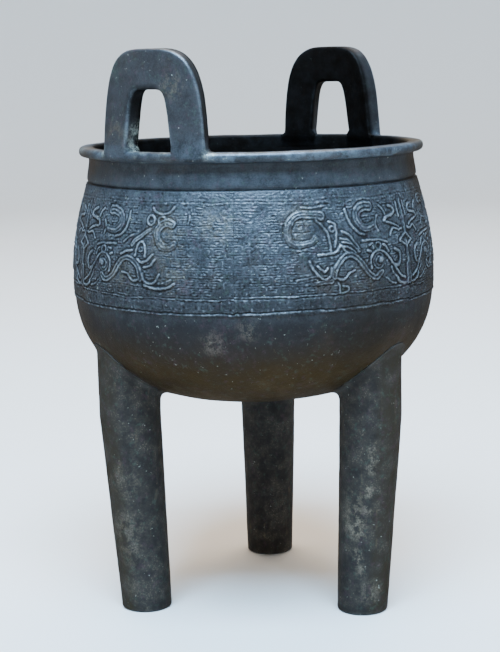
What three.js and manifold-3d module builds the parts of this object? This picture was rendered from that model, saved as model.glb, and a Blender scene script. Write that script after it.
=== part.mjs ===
// A bronze ding: a round cast vessel on three legs, with two upright loop handles on its lip.
// Millimetres, +Z up. The origin is on the bowl's axis, at the level of the feet.
// The handles stand near +X and -X, turned a little about the axis. A band of relief runs round the
// belly, with three animal masks in it, each looking out over a leg, and a narrow plain strip between
// one mask and the next.
import * as THREE from 'three';
import { mergeVertices } from 'three/addons/utils/BufferGeometryUtils.js';
import Module from 'manifold-3d';

const wasm = await Module();
wasm.setup();
const { cos, sin, sqrt, sign, abs, min, PI } = Math;

// Lip and neck
const LIP_RADIUS = 86;
const LIP_TOP = 232;
const LIP_THICKNESS = 4.8;
const LIP_ROUNDING = 1.8;
const MOUTH_RADIUS = 78;
const NECK_RADIUS = 81.2;
const NECK_FILLET = 0.8;

// Groove between the neck and the band
const GROOVE_HEIGHT = 214.6;
const GROOVE_RADIUS = 82.4;
const GROOVE_WIDTH = 1.2;
const GROOVE_DEPTH = 0.8;

// Belly, as two quarter superellipses that meet at its widest line
const BELLY_RADIUS = 91.4;
const BELLY_HEIGHT = 168;
const SHOULDER_RADIUS = 83;
const SHOULDER_RISE = 1.06;
const SHOULDER_SWELL = 2.18;
const BOWL_BOTTOM = 104.6;
const BOWL_DROP = 0.796;
const BOWL_SWELL = 0.738;
const WALL = 3.4;

// Band of relief: two border strips and the sunk field between them
const BAND_BOTTOM = 158.2;
const BAND_STEP = 0.6;
const FIELD_TOP = 208.5;
const FIELD_BOTTOM = 165.6;
const FIELD_DEPTH = 0.4;
const EDGE_RISE = 0.2;
const RELIEF = 0.9;
const ROOT = 1.2;
const RIBBON_TAPER = 0.72;

// Legs
const LEGS = 3;
const FIRST_LEG = -PI / 2;
const FOOT_RING = 63.2;
const LEG_LEAN = 0.057;
const FOOT_RADIUS = 12.65;
const FOOT_ROUNDING = 1.3;
const LEG_RADIUS = 15.4;
const LEG_STRAIGHT = 100;
const LEG_TOP = 140;
const LEG_ANGLES = Array.from({ length: LEGS }, (_, i) => FIRST_LEG + (i * 2 * PI) / LEGS);

// Handles, measured along the lip's outer edge and up from its top. They stand a little off the X axis.
const HANDLE_TURN = (1.6 * PI) / 180;
const HANDLE_ANGLES = [HANDLE_TURN, PI + HANDLE_TURN];
const HANDLE_BASE = 30.4;
const HANDLE_SHOULDER = 27.8;
const HANDLE_HEIGHT = 47;
const HANDLE_SQUARENESS = 3.5;
const HANDLE_THICKNESS = 9.2;
const HANDLE_ROUNDING = 2.4;
const HANDLE_LEAN = -0.045;
const HANDLE_ROOT = 2.6;
const OPENING_BASE = 13.3;
const OPENING_SHOULDER = 9.5;
const OPENING_HEIGHT = 28.2;
const OPENING_SQUARENESS = 7;

// Fineness of the facets
const BOWL_SIDES = 48;
const LEG_SIDES = 18;
const SHOULDER_RINGS = 2;
const BOWL_RINGS = 7;
const HOLLOW_RINGS = 6;
const HANDLE_STEPS = 16;

// Vertices closer together than this are one, and a triangle with a smaller product of its edge
// lengths is left out.
const SAME_POINT = 1e-4;
const FLAT_TRIANGLE = 1e-9;

// Half the side of the unit boxes that are bent into handles and ribbons.
const BOX_HALF = 0.5;

// How far a rounded corner stands back from the sharp one, as a share of its radius.
const CORNER_CUT = 1 - Math.SQRT1_2;

const polar = (radius, angle, z) => new THREE.Vector3(radius * cos(angle), radius * sin(angle), z);

// The belly's radius at a height. The inset gives the inner wall.
function bellyRadius(z, inset = 0) {
  if (z >= BELLY_HEIGHT) {
    const rise = min(1, (z - BELLY_HEIGHT) / (GROOVE_HEIGHT - BELLY_HEIGHT));
    const swell = sqrt(1 - rise ** (2 / SHOULDER_RISE)) ** SHOULDER_SWELL;
    return SHOULDER_RADIUS - inset + (BELLY_RADIUS - SHOULDER_RADIUS) * swell;
  }
  const drop = (BELLY_HEIGHT - z) / (BELLY_HEIGHT - BOWL_BOTTOM - inset);
  return (BELLY_RADIUS - inset) * sqrt(1 - min(1, drop) ** (2 / BOWL_DROP)) ** BOWL_SWELL;
}

// Heights down a curve, set closer together towards its lower end.
function heights(from, to, count) {
  return Array.from({ length: count }, (_, i) => from + (to - from) * sin((i / (count - 1)) * PI / 2));
}

// The outside of the bowl from its lowest point to the middle of the lip's top.
function outerProfile() {
  const points = [new THREE.Vector2(0, BOWL_BOTTOM)];
  const add = (r, z) => points.push(new THREE.Vector2(r, z));
  for (const z of heights(BAND_BOTTOM, BOWL_BOTTOM + EDGE_RISE, BOWL_RINGS).reverse()) {
    add(bellyRadius(z) - BAND_STEP, z);
  }
  add(bellyRadius(BAND_BOTTOM), BAND_BOTTOM + 2 * EDGE_RISE);
  add(bellyRadius(FIELD_BOTTOM), FIELD_BOTTOM - EDGE_RISE);
  add(bellyRadius(FIELD_BOTTOM) - FIELD_DEPTH, FIELD_BOTTOM + EDGE_RISE);
  for (let i = 1; i <= SHOULDER_RINGS; i += 1) {
    const z = FIELD_BOTTOM + ((FIELD_TOP - FIELD_BOTTOM) * i) / (SHOULDER_RINGS + 1);
    add(bellyRadius(z) - FIELD_DEPTH, z);
  }
  add(bellyRadius(FIELD_TOP) - FIELD_DEPTH, FIELD_TOP - EDGE_RISE);
  add(bellyRadius(FIELD_TOP), FIELD_TOP + EDGE_RISE);
  add(SHOULDER_RADIUS, GROOVE_HEIGHT - GROOVE_WIDTH / 2);
  add(GROOVE_RADIUS - GROOVE_DEPTH, GROOVE_HEIGHT);
  add(GROOVE_RADIUS, GROOVE_HEIGHT + GROOVE_WIDTH / 2);
  const underside = LIP_TOP - LIP_THICKNESS;
  add(NECK_RADIUS, underside - NECK_FILLET);
  add(NECK_RADIUS + NECK_FILLET, underside);
  add(LIP_RADIUS - LIP_ROUNDING, underside);
  add(LIP_RADIUS - CORNER_CUT * LIP_ROUNDING, underside + CORNER_CUT * LIP_ROUNDING);
  add(LIP_RADIUS, underside + LIP_ROUNDING);
  add(LIP_RADIUS, LIP_TOP - LIP_ROUNDING);
  add(LIP_RADIUS - CORNER_CUT * LIP_ROUNDING, LIP_TOP - CORNER_CUT * LIP_ROUNDING);
  add(LIP_RADIUS - LIP_ROUNDING, LIP_TOP);
  add(0, LIP_TOP);
  return points;
}

// The hollow inside, open at the mouth, where it flares to round the lip's inner edge.
function hollowProfile() {
  const points = [new THREE.Vector2(0, BOWL_BOTTOM + WALL)];
  const add = (r, z) => points.push(new THREE.Vector2(r, z));
  for (const z of heights(BELLY_HEIGHT, BOWL_BOTTOM + WALL + EDGE_RISE, HOLLOW_RINGS).reverse()) {
    add(bellyRadius(z, WALL), z);
  }
  for (let i = 1; i <= SHOULDER_RINGS; i += 1) {
    const z = BELLY_HEIGHT + ((GROOVE_HEIGHT - BELLY_HEIGHT) * i) / (SHOULDER_RINGS + 1);
    add(bellyRadius(z, WALL), z);
  }
  add(SHOULDER_RADIUS - WALL, GROOVE_HEIGHT);
  add(MOUTH_RADIUS, LIP_TOP - LIP_ROUNDING);
  add(MOUTH_RADIUS + LIP_ROUNDING, LIP_TOP);
  add(MOUTH_RADIUS + 2 * LIP_ROUNDING, LIP_TOP + LIP_ROUNDING);
  add(0, LIP_TOP + LIP_ROUNDING);
  return points;
}

// Turns a profile of radius and height round the Z axis.
function turned(profile, sides) {
  return new THREE.LatheGeometry(profile, sides).rotateX(PI / 2);
}

// Moves every vertex of a geometry to where place(vertex) puts it.
function warped(geometry, place) {
  const spots = geometry.attributes.position;
  const vertex = new THREE.Vector3();
  for (let i = 0; i < spots.count; i += 1) {
    const moved = place(vertex.fromBufferAttribute(spots, i));
    spots.setXYZ(i, moved.x, moved.y, moved.z);
  }
  return geometry;
}

// A leg leans outwards as it rises, thickens up to its straight top and ends inside the bowl.
function legGeometry(angle) {
  const outline = [[0, 0], [FOOT_RADIUS - FOOT_ROUNDING, 0], [FOOT_RADIUS, FOOT_ROUNDING],
    [LEG_RADIUS, LEG_STRAIGHT], [LEG_RADIUS, LEG_TOP], [0, LEG_TOP]];
  const profile = outline.map(([r, z]) => new THREE.Vector2(r, z));
  const upright = turned(profile, LEG_SIDES);
  return warped(upright, (v) => {
    const ring = FOOT_RING + LEG_LEAN * min(v.z, LEG_STRAIGHT);
    return polar(ring, angle, v.z).add(new THREE.Vector3(v.x, v.y, 0));
  });
}

// Half width of an arch and the height there, as its outline turns from foot (0) to crown (PI / 2).
function archPoint(turn, base, shoulder, height, squareness) {
  const h = height * sin(turn) ** (2 / squareness);
  const across = (base + (shoulder - base) * (h / height)) * abs(cos(turn)) ** (2 / squareness);
  return new THREE.Vector2(across * sign(cos(turn)), h);
}

// A handle is a round-edged bar bent over its opening and round the lip.
function handleGeometry(angle) {
  const bar = new THREE.BoxGeometry(1, 1, 1, HANDLE_STEPS, 3, 3);
  return warped(bar, (v) => {
    const turn = (v.x + BOX_HALF) * PI;
    const outer = archPoint(turn, HANDLE_BASE, HANDLE_SHOULDER, HANDLE_HEIGHT, HANDLE_SQUARENESS);
    const inner = archPoint(turn, OPENING_BASE, OPENING_SHOULDER, OPENING_HEIGHT, OPENING_SQUARENESS);
    const width = outer.distanceTo(inner);
    const onSide = abs(v.y) === BOX_HALF;
    const onFace = abs(v.z) === BOX_HALF;
    const pulled = onSide && onFace ? CORNER_CUT * HANDLE_ROUNDING : 0;
    const across = sign(v.y) * (width / 2 - (onSide ? pulled : HANDLE_ROUNDING));
    const through = sign(v.z) * (HANDLE_THICKNESS / 2 - (onFace ? pulled : HANDLE_ROUNDING));
    const spot = inner.clone().lerp(outer, 1 / 2 + across / width);
    const isEnd = abs(v.x) === BOX_HALF;
    const height = isEnd ? -HANDLE_ROOT : spot.y;
    const radius = LIP_RADIUS - HANDLE_THICKNESS / 2 + through + HANDLE_LEAN * height;
    return polar(radius, angle + spot.x / LIP_RADIUS, LIP_TOP + height);
  });
}

// A place on the band: u runs round the belly from the mask's middle line, z is the height and
// lift is how far it stands off the sunk field.
function onBand(u, z, lift, middle) {
  return polar(bellyRadius(z) - FIELD_DEPTH + lift, middle + u / BELLY_RADIUS, z);
}

// A raised ribbon along a flat curve in u and z. It narrows to the share tip at its far end.
function ribbon(curve, width, steps, tip = 1) {
  return { curve, width, steps, tip };
}

function ribbonGeometry({ curve, width, steps, tip }, middle, side) {
  const bar = new THREE.BoxGeometry(1, 1, 1, steps, 1, 1);
  return warped(bar, (v) => {
    const t = v.x + BOX_HALF;
    const spot = curve.getPoint(t);
    const along = curve.getTangent(t);
    const taper = (1 + (tip - 1) * t) * (v.z > 0 ? RIBBON_TAPER : 1);
    const across = v.y * width * taper;
    const lift = v.z > 0 ? RELIEF : -ROOT;
    return onBand(side * (spot.x - along.y * across), spot.y + along.x * across, lift, middle);
  });
}

const arc = (u, z, radiusU, radiusZ, from, to) =>
  new THREE.EllipseCurve(u, z, radiusU, radiusZ, (from * PI) / 180, (to * PI) / 180, from > to);

const spline = (...pairs) => new THREE.SplineCurve(pairs.map(([u, z]) => new THREE.Vector2(u, z)));

// The mask's middle line: brow peak above, nose below.
const MASK_MIDDLE = [
  ribbon(spline([0, 206], [0, 190]), 3.6, 1),
  ribbon(spline([0, 187], [0, 170]), 4, 1),
];

// One half of the mask, from the nose outwards.
const MASK_HALF = [
  // Bridge scroll and nostril hook
  ribbon(spline([10, 204], [6.4, 202], [11, 200.2], [15.4, 197.4]), 2.2, 3),
  ribbon(arc(10.6, 180.4, 3.4, 3.8, 95, 265), 2, 3),
  // Eye: a pupil under a socket that runs down to the muzzle, and the brow over it
  ribbon(spline([23.8, 179.6], [19.8, 179.6]), 4.4, 1),
  ribbon(spline([27, 177], [26, 182], [21.6, 184], [16.6, 181.6], [11.6, 175.4], [4.6, 170]), 2.4, 5),
  ribbon(spline([31, 188.2], [16, 187.2]), 2.4, 1),
  // Horn
  ribbon(arc(27.6, 200.2, 6.8, 5.4, 125, -125), 3.2, 5),
  // Jaw line: a wave that swings under the eye
  ribbon(spline([48, 174.4], [46.8, 180], [41.6, 183.8], [35.6, 182], [30.4, 175.4], [25.4, 172.8],
    [21.4, 174.6]), 3, 6),
  // Paw and foot
  ribbon(arc(54.6, 181.8, 4.8, 6.4, 185, 355), 2.8, 3),
  ribbon(spline([49, 172.6], [65.6, 171.6]), 2.4, 1, 0.3),
  // Body and curled tail
  ribbon(spline([48.6, 186.6], [52.6, 201]), 2.8, 1, 1.5),
  ribbon(spline([52.4, 202], [61, 203.2], [67.4, 201.4], [70.4, 196.4], [69.4, 192], [65, 189.4],
    [60.6, 189.8], [57.6, 191.8]), 4, 6),
];

// A closed geometry as a solid, turned right side out where a mirrored form needs it.
function solid(geometry) {
  const bare = geometry.clone();
  bare.deleteAttribute('normal');
  bare.deleteAttribute('uv');
  const merged = mergeVertices(bare, SAME_POINT);
  const spots = merged.attributes.position;
  const corner = (i) => new THREE.Vector3().fromBufferAttribute(spots, merged.index.getX(i));
  const kept = [];
  let volume = 0;
  for (let i = 0; i < merged.index.count; i += 3) {
    const [a, b, c] = [corner(i), corner(i + 1), corner(i + 2)];
    const isFlat = a.distanceTo(b) * b.distanceTo(c) * c.distanceTo(a) < FLAT_TRIANGLE;
    if (!isFlat) {
      volume += a.dot(b.cross(c));
      kept.push(merged.index.getX(i), merged.index.getX(i + 1), merged.index.getX(i + 2));
    }
  }
  const triVerts = new Uint32Array(volume > 0 ? kept : kept.reverse());
  const vertProperties = new Float32Array(spots.array);
  return new wasm.Manifold(new wasm.Mesh({ numProp: 3, vertProperties, triVerts }));
}

// One mask's relief, as a list of solids.
function maskSolids(middle) {
  const halves = [-1, 1].flatMap((side) => MASK_HALF.map((piece) => ribbonGeometry(piece, middle, side)));
  const nose = MASK_MIDDLE.map((piece) => ribbonGeometry(piece, middle, 1));
  return [...nose, ...halves].map(solid);
}

// The whole casting: bowl and legs, hollowed, then the handles and the relief.
function vesselSolid() {
  const joined = (body, others) => others.reduce((sum, other) => sum.add(other), body);
  const bowl = joined(solid(turned(outerProfile(), BOWL_SIDES)), LEG_ANGLES.map(legGeometry).map(solid));
  const hollowed = bowl.subtract(solid(turned(hollowProfile(), BOWL_SIDES)));
  const handled = joined(hollowed, HANDLE_ANGLES.map(handleGeometry).map(solid));
  return joined(handled, LEG_ANGLES.flatMap(maskSolids));
}

// A solid as a named three.js mesh.
function meshOf(name, body, material) {
  const { vertProperties, triVerts } = body.getMesh();
  const geometry = new THREE.BufferGeometry();
  geometry.setAttribute('position', new THREE.BufferAttribute(vertProperties, 3));
  geometry.setIndex(new THREE.BufferAttribute(triVerts, 1));
  geometry.computeVertexNormals();
  const mesh = new THREE.Mesh(geometry, material);
  mesh.name = name;
  return mesh;
}

const bronze = new THREE.MeshStandardMaterial({ color: 0x3b3a36, roughness: 0.5, metalness: 0.8 });

const ding = new THREE.Group();
ding.add(meshOf('ding_vessel', vesselSolid(), bronze));

export default ding;
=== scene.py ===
from math import cos, hypot, pi, radians, sin

import bpy
import numpy as np
from mathutils import Matrix, Vector


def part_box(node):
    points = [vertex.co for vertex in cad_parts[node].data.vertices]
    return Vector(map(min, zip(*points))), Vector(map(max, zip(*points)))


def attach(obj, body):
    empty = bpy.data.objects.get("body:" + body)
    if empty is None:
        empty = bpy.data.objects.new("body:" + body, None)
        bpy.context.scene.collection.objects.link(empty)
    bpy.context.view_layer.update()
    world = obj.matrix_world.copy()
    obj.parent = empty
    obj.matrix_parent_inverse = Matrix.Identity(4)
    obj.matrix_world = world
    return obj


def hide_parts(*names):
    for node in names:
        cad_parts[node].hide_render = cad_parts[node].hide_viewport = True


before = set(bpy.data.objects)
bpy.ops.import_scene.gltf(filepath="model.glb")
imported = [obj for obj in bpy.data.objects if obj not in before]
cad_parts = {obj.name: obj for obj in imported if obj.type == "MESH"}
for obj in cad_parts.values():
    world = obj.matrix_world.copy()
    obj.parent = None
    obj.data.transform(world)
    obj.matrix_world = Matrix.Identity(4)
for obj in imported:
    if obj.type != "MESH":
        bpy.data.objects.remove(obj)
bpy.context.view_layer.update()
MM = 0.001

# Lip and neck
LIP_RADIUS = 86
LIP_TOP = 232
LIP_THICKNESS = 4.8
LIP_UNDERSIDE = LIP_TOP - LIP_THICKNESS
LIP_ROUNDING = 2.1
MOUTH_RADIUS = 78
MOUTH_ROUNDING = 1.6
NECK_RADIUS = 81.2
NECK_FILLET = 1.4

# Groove between the neck and the band
GROOVE_HEIGHT = 214.6
GROOVE_RADIUS = 82.4
GROOVE_WIDTH = 1.2
GROOVE_DEPTH = 0.9
GROOVE_BEVEL = 0.3

# Belly, as two quarter superellipses that meet at its widest line
BELLY_RADIUS = 91.4
BELLY_HEIGHT = 168
SHOULDER_RADIUS = 83
SHOULDER_RISE = 1.06
SHOULDER_SWELL = 2.18
BOWL_BOTTOM = 104.6
BOWL_DROP = 0.796
BOWL_SWELL = 0.738
WALL = 3.4

# Band of relief, and the bed in the body that its panels lie in
BAND_BOTTOM = 158.2
BAND_TOP = GROOVE_HEIGHT - GROOVE_WIDTH / 2
BAND_STEP = 0.6
BED_DEPTH = 1.4
BED_BEVEL = 0.4
PANEL_DEPTH = 1.7
FIELD_TOP = 208.5
FIELD_DEPTH = 0.4

# Border lines of the two halves of a mask, which come from moulds that don't quite meet
FOOT_LINES = {-1: 159.3, 1: 158.7}
FIELD_LINES = {-1: 166.6, 1: 165.4}
SIDE_LINES = {-1: 88.2, 1: 91}

# Relief: the height of its strokes and its ground, and how far the panels are set back
RELIEF = 0.75
GROUND_HEIGHT = 0.42
BORDER_HEIGHT = 0.34
SET_BACK = 0.12
HALF_MASK = BELLY_RADIUS * pi / 3

# Legs
LEGS = 3
FIRST_LEG = -pi / 2
FOOT_RING = 63.2
LEG_LEAN = 0.057
FOOT_RADIUS = 12.65
FOOT_ROUNDING = 1.3
LEG_RADIUS = 15.4
LEG_STRAIGHT = 100
LEG_FILLET = 2.6
LEG_ANGLES = [FIRST_LEG + i * 2 * pi / LEGS for i in range(LEGS)]

# A leg's hidden end inside the bowl's wall: how far it lies under the belly's widest line and is drawn in
LEG_END_DROP = 20
LEG_END_INSET = 4

# Handles, measured along the lip's outer edge and up from its top. They stand a little off the X axis.
HANDLE_TURN = radians(1.6)
HANDLE_ANGLES = [HANDLE_TURN, pi + HANDLE_TURN]
HANDLE_BASE = 30.4
HANDLE_SHOULDER = 27.8
HANDLE_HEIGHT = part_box("ding_vessel")[1][2] / MM - LIP_TOP
HANDLE_SQUARENESS = 3.5
HANDLE_THICKNESS = 9.2
HANDLE_ROUNDING = 1.5
HANDLE_LEAN = -0.045
HANDLE_FILLET = 2.4
OPENING_BASE = 13.3
OPENING_SHOULDER = 9.5
OPENING_HEIGHT = 28.2
OPENING_SQUARENESS = 7

# A handle's root in the lip: the depth of each of its sections under the lip's top, and how far the
# section is drawn in from its outer and its inner face
HANDLE_ROOT = [(6.5, 6.2, 1.5), (3.2, 0.9, 0.9), (LIP_ROUNDING, 0.02, 0.3)]

# Marks on the vertices: wear and shading (edges paler with wear and painted highlights, creases darker
# with painted shade), even on flat stretches; soot and painted shade; and 0.5 on a leg or 1 on its outer
# side.
# The wear and shading mark is never 0, so that the vertices that a cut adds can be told.
MARKS = ("wear", "soot", "leg")
EVEN_WEAR_AND_SHADING = 0.5
LEAST_WEAR_AND_SHADING = 0.02
FOOT_WEAR = 0.16
# A painted highlight along the top of a leg's joint with the belly
CREST_HIGHLIGHT = 0.13
BACK_WEAR_AND_SHADING = 0.3
RELIEF_GAIN = 2.3
# Painted shade on a leg's inner side, in a handle's opening and on a handle's ends
LEG_INNER_SHADE = 0.16
OPENING_SHADE = 0.7
END_SHADE = 0.5

# The height over which the casting's unevenness fades in at the feet, and the angle of a sharp edge
FLAT_FOOT = 1.5
SHARP_ANGLE = radians(42)

# Smooth unevenness for many uses: wavelength in millimetres, seed and number of waves
UNEVENNESS = {
    "casting_broad": (26, 3, 14), "casting_fine": (6, 4, 14),
    "sway_round": (9, 11, 14), "sway_up": (11, 12, 14),
    "ripple_round": (2.6, 21, 40), "ripple_up": (2.2, 22, 40),
    "strokes": (6, 23, 30), "worn": (13, 13, 30), "broken": (4.5, 24, 40), "pits": (1.6, 14, 70),
}

# Fineness of the meshes
BOWL_SIDES = 288
BOWL_ROWS = 60
BED_ROWS = 30
NECK_ROWS = 6
HOLLOW_ROWS = 40
WALL_ROWS = 24
LEG_SIDES = 72
LEG_ROWS = 60
FOOT_ROWS = 5
JOINT_ROWS = 14
HANDLE_ROWS = 44
HANDLE_CROWDING = 2.4
FACE_POINTS = 9
SIDE_POINTS = 4
PANEL_STEPS_ROUND = 280
PANEL_STEPS_UP = 228
PANEL_BACK_ROWS = 8

# How far a cut reaches past a form, how deep a joint's edge is set in, and the least divisor
CUT_MARGIN = 3
EMBEDDED = 0.1
TINY = 1e-6


# Sums of long sine waves in seeded directions: smooth unevenness of about 1 either way.
def unevenness(points, name, spread=(0.7, 1.6)):
    wavelength, seed, waves = UNEVENNESS[name]
    rng = np.random.default_rng(seed)
    total = np.zeros(len(points))
    for _ in range(waves):
        direction = rng.normal(size=3)
        direction *= 2 * pi / (wavelength * rng.uniform(*spread) * np.linalg.norm(direction))
        total += np.sin(points @ direction + rng.uniform(0, 2 * pi))
    return total / np.sqrt(waves / 2)


def smoothstep(low, high, value):
    share = np.clip((value - low) / (high - low), 0, 1)
    return share * share * (3 - 2 * share)


# Turns spread evenly all the way round.
def all_round(count):
    return np.arange(count) * 2 * pi / count


# Points at a radius, a turn and a height round the axis.
def around_axis(radius, turns, z):
    return np.stack([radius * np.cos(turns), radius * np.sin(turns), z + 0 * turns], axis=-1)


# The belly's radius at a height. The inset gives the inner wall.
def belly_radius(z, inset=0):
    z = np.asarray(z, float)
    rise = np.clip((z - BELLY_HEIGHT) / (GROOVE_HEIGHT - BELLY_HEIGHT), 0, 1)
    swell = np.sqrt(1 - rise ** (2 / SHOULDER_RISE)) ** SHOULDER_SWELL
    upper = SHOULDER_RADIUS - inset + (BELLY_RADIUS - SHOULDER_RADIUS) * swell
    drop = np.clip((BELLY_HEIGHT - z) / (BELLY_HEIGHT - BOWL_BOTTOM - inset), 0, 1)
    lower = (BELLY_RADIUS - inset) * np.sqrt(1 - drop ** (2 / BOWL_DROP)) ** BOWL_SWELL
    return np.where(z >= BELLY_HEIGHT, upper, lower)


# Radius and height down the bowl's lower part, evenly spread where it turns in to the axis.
def bowl_curve(top, inset, count):
    floor = BOWL_BOTTOM + inset
    shares = np.linspace(0, 1, count) ** (2 / BOWL_SWELL)
    z = floor + (top - floor) * shares
    return np.column_stack([belly_radius(z, inset), z])


# Points on an arc of a circle, in degrees from the outward direction.
def arc(r, z, radius, start, end, count=6):
    turns = np.radians(np.linspace(start, end, count))
    return np.column_stack([r + radius * np.cos(turns), z + radius * np.sin(turns)])


def outer_profile():
    bowl = bowl_curve(BAND_BOTTOM, 0, BOWL_ROWS)
    bowl[:, 0] *= 1 - BAND_STEP / BELLY_RADIUS
    bed_z = np.linspace(BAND_BOTTOM + BED_BEVEL, BAND_TOP, BED_ROWS)
    bed = np.column_stack([belly_radius(bed_z) - BED_DEPTH, bed_z])
    groove = [
        [GROOVE_RADIUS - GROOVE_DEPTH, GROOVE_HEIGHT],
        [GROOVE_RADIUS - GROOVE_BEVEL, GROOVE_HEIGHT + GROOVE_WIDTH / 2],
        [GROOVE_RADIUS, GROOVE_HEIGHT + GROOVE_WIDTH],
    ]
    neck_z = np.linspace(GROOVE_HEIGHT + 2 * GROOVE_WIDTH, LIP_UNDERSIDE - 2 * NECK_FILLET, NECK_ROWS)
    neck_share = (neck_z - neck_z[0]) / (neck_z[-1] - neck_z[0])
    neck = np.column_stack([GROOVE_RADIUS + (NECK_RADIUS - GROOVE_RADIUS) * neck_share, neck_z])
    fillet = arc(NECK_RADIUS + NECK_FILLET, LIP_UNDERSIDE - NECK_FILLET, NECK_FILLET, 180, 90)
    edge = LIP_RADIUS - LIP_ROUNDING
    lower = arc(edge, LIP_UNDERSIDE + LIP_ROUNDING, LIP_ROUNDING, -90, 0)
    upper = arc(edge, LIP_TOP - LIP_ROUNDING, LIP_ROUNDING, 0, 90)
    return np.vstack([bowl, bed, groove, neck, fillet, lower, upper, [[0, LIP_TOP]]])


def hollow_profile():
    bowl = bowl_curve(BELLY_HEIGHT, WALL, HOLLOW_ROWS)
    wall_z = np.linspace(BELLY_HEIGHT, GROOVE_HEIGHT, WALL_ROWS)[1:]
    wall = np.column_stack([belly_radius(wall_z, WALL), wall_z])
    mouth_edge = MOUTH_RADIUS + MOUTH_ROUNDING
    edge = arc(mouth_edge, LIP_TOP - MOUTH_ROUNDING, MOUTH_ROUNDING, 180, 90)
    over_lip = [[mouth_edge, LIP_TOP + CUT_MARGIN], [0, LIP_TOP + CUT_MARGIN]]
    return np.vstack([bowl, wall, edge, over_lip])


# Turns a profile that starts and ends on the axis into a closed form.
def turned(profile, sides):
    angles = all_round(sides)
    rings = profile[1:-1]
    body = around_axis(rings[:, :1], angles, rings[:, 1:])
    verts = np.vstack([[[0, 0, profile[0, 1]]], body.reshape(-1, 3), [[0, 0, profile[-1, 1]]]])
    last = len(verts) - 1
    faces = []
    for side in range(sides):
        after = (side + 1) % sides
        faces.append([0, 1 + after, 1 + side])
        for ring in range(len(rings) - 1):
            low = 1 + ring * sides
            faces.append([low + side, low + after, low + sides + after, low + sides + side])
        top = 1 + (len(rings) - 1) * sides
        faces.append([top + side, top + after, last])
    return verts, faces


# Joins rings of equal length into a closed tube with flat ends.
def tube(rings):
    at = np.arange(rings[..., 0].size).reshape(rings.shape[:2])
    after = np.roll(at, -1, axis=1)
    quads = np.stack([at[:-1], after[:-1], after[1:], at[1:]], axis=-1).reshape(-1, 4)
    return rings.reshape(-1, 3), quads.tolist() + [at[0, ::-1].tolist(), at[-1].tolist()]


# Distance of points from the belly's outline, and the outline's normal there in radius and height.
def from_belly(points, steps=1200, first_step=0.01):
    r = np.hypot(points[:, 0], points[:, 1])
    z = points[:, 2]
    line_z = np.linspace(BOWL_BOTTOM + first_step, BAND_BOTTOM, steps)
    line_r = belly_radius(line_z)
    gap = np.hypot(r[:, None] - line_r, z[:, None] - line_z)
    nearest = gap.argmin(axis=1)
    slope = np.gradient(line_r, line_z)[nearest]
    length = np.hypot(1, slope)
    normal = np.column_stack([1 / length, -slope / length])
    offset = np.column_stack([r - line_r[nearest], z - line_z[nearest]])
    return (offset * normal).sum(axis=1), normal


# Spots on a leg's wall at given turns and heights. It leans out and thickens as it rises.
def leg_spots(angle, turns, height, flare=0):
    rise = np.minimum(height, LEG_STRAIGHT)
    ring = FOOT_RING + LEG_LEAN * rise
    radius = FOOT_RADIUS + (LEG_RADIUS - FOOT_RADIUS) * rise / LEG_STRAIGHT
    x = ring * cos(angle) + (radius + flare) * np.cos(turns)
    y = ring * sin(angle) + (radius + flare) * np.sin(turns)
    return np.column_stack([x, y, height])


# Heights at which a leg's wall meets the belly's underside.
def leg_meeting(angle, turns, rounds=60, pace=0.7):
    meeting = np.full(LEG_SIDES, float(BOWL_BOTTOM))
    for _ in range(rounds):
        gap, _normal = from_belly(leg_spots(angle, turns, meeting))
        meeting += gap * pace
    return meeting


# Rings that bend a leg's wall into the belly, and one just inside the bowl's wall.
def leg_joint(below, joint, turns, reach):
    away = np.column_stack([np.cos(turns), np.sin(turns), np.zeros(LEG_SIDES)])
    radial = joint * [1, 1, 0] / np.hypot(joint[:, 0], joint[:, 1])[:, None]
    _gap, slope = from_belly(joint)
    out = -slope[:, 1]
    up = slope[:, 0] * (away * radial).sum(axis=1)
    length = np.hypot(out, up)
    above = joint + away * (reach * out / length)[:, None]
    above[:, 2] += reach * up / length
    gap, slope = from_belly(above)
    inward = -(radial * slope[:, :1] + np.array([0, 0, 1]) * slope[:, 1:])
    above += inward * (gap + EMBEDDED)[:, None]
    rings = []
    for share in np.linspace(0, 1, JOINT_ROWS):
        rings.append((1 - share) ** 2 * below + 2 * share * (1 - share) * joint + share ** 2 * above)
    return rings + [above + inward * WALL / 2]


# A leg from its rounded foot to its end inside the bowl's wall, with the marks of its points: painted
# shade on its inner side, a painted highlight along the top of its joint, and how far each point faces
# out.
def leg_form(angle):
    turns = all_round(LEG_SIDES)
    ahead = np.cos(turns - angle)
    meeting = leg_meeting(angle, turns)
    rings = []
    for turn in np.linspace(0, pi / 2, FOOT_ROWS):
        inset = FOOT_ROUNDING * (1 - sin(turn))
        height = np.full(LEG_SIDES, FOOT_ROUNDING * (1 - cos(turn)))
        rings.append(leg_spots(angle, turns, height, -inset))
    start = 3 * FOOT_ROUNDING
    reach = LEG_FILLET * (1.5 - 0.5 * ahead)
    for share in np.linspace(0, 1, LEG_ROWS)[:-1]:
        rings.append(leg_spots(angle, turns, start + (meeting - reach - start) * share))
    below = leg_spots(angle, turns, meeting - reach)
    rings += leg_joint(below, leg_spots(angle, turns, meeting), turns, reach)
    hidden_height = np.full(LEG_SIDES, float(BELLY_HEIGHT - LEG_END_DROP))
    rings.append(leg_spots(angle, turns, hidden_height, -LEG_END_INSET))
    every_ring = np.zeros((len(rings), LEG_SIDES))
    soot = LEG_INNER_SHADE * smoothstep(0.1, -0.9, ahead) + every_ring
    outer_side = smoothstep(0.45, 0.95, ahead) + every_ring
    crest = every_ring.copy()
    crest[-6:-2] = CREST_HIGHLIGHT * smoothstep(0.0, 0.7, ahead)
    return tube(np.array(rings)), soot.ravel(), crest.ravel(), outer_side.ravel()


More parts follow.
